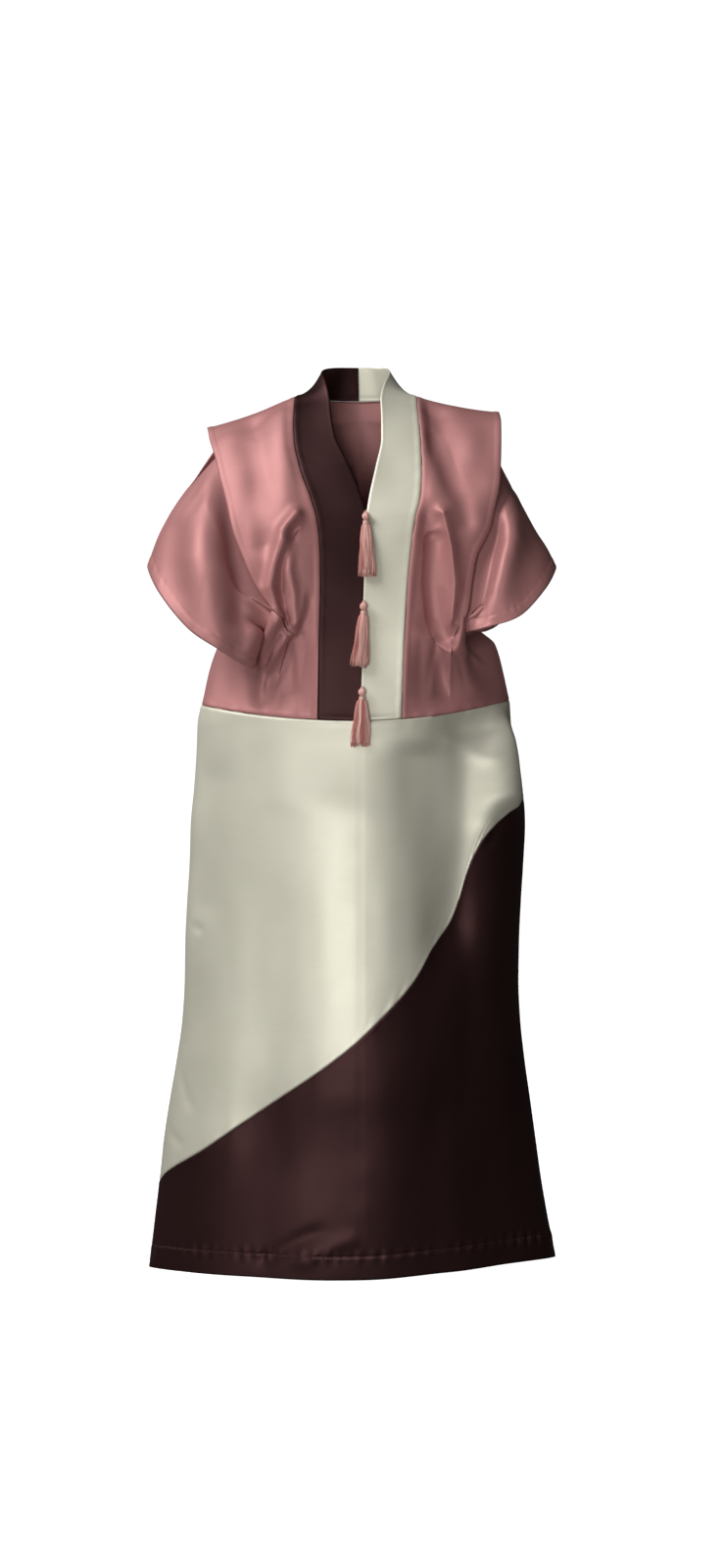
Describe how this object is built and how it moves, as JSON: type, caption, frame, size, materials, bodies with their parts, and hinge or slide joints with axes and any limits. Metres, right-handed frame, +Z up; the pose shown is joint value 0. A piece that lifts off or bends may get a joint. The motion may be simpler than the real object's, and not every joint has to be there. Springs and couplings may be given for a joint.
{
  "type": "grand boubou robe",
  "caption": "Long flat-fronted satin robe with shoulder flanges, full short sleeves, a two-tone front band and collar, tassels, and a slant-cut two-tone skirt.",
  "frame": {"origin": "midway between the two points where collar and shoulder ridge meet, level with them", "axes": "+Z up, -Y the way the front faces, +X towards the wearer's left; the robe hangs down from the origin"},
  "size_m": [0.673, 0.2703, 1.496],
  "materials": {
    "rose_satin": "satin",
    "ivory_satin": "satin",
    "aubergine_satin": "satin",
    "rose_thread": "thread"
  },
  "bodies": {
    "root": {"bodice_front_right": "rose_satin", "bodice_front_left": "rose_satin", "bodice_back": "rose_satin", "band_right": "aubergine_satin", "band_left": "ivory_satin", "skirt_front_ivory": "ivory_satin", "skirt_front_aubergine": "aubergine_satin", "skirt_back_ivory": "ivory_satin", "skirt_back_aubergine": "aubergine_satin", "sleeve_right": "rose_satin", "sleeve_left": "rose_satin", "tassel_top": "rose_thread", "tassel_middle": "rose_thread", "tassel_bottom": "rose_thread"}
  },
  "joints": []
}
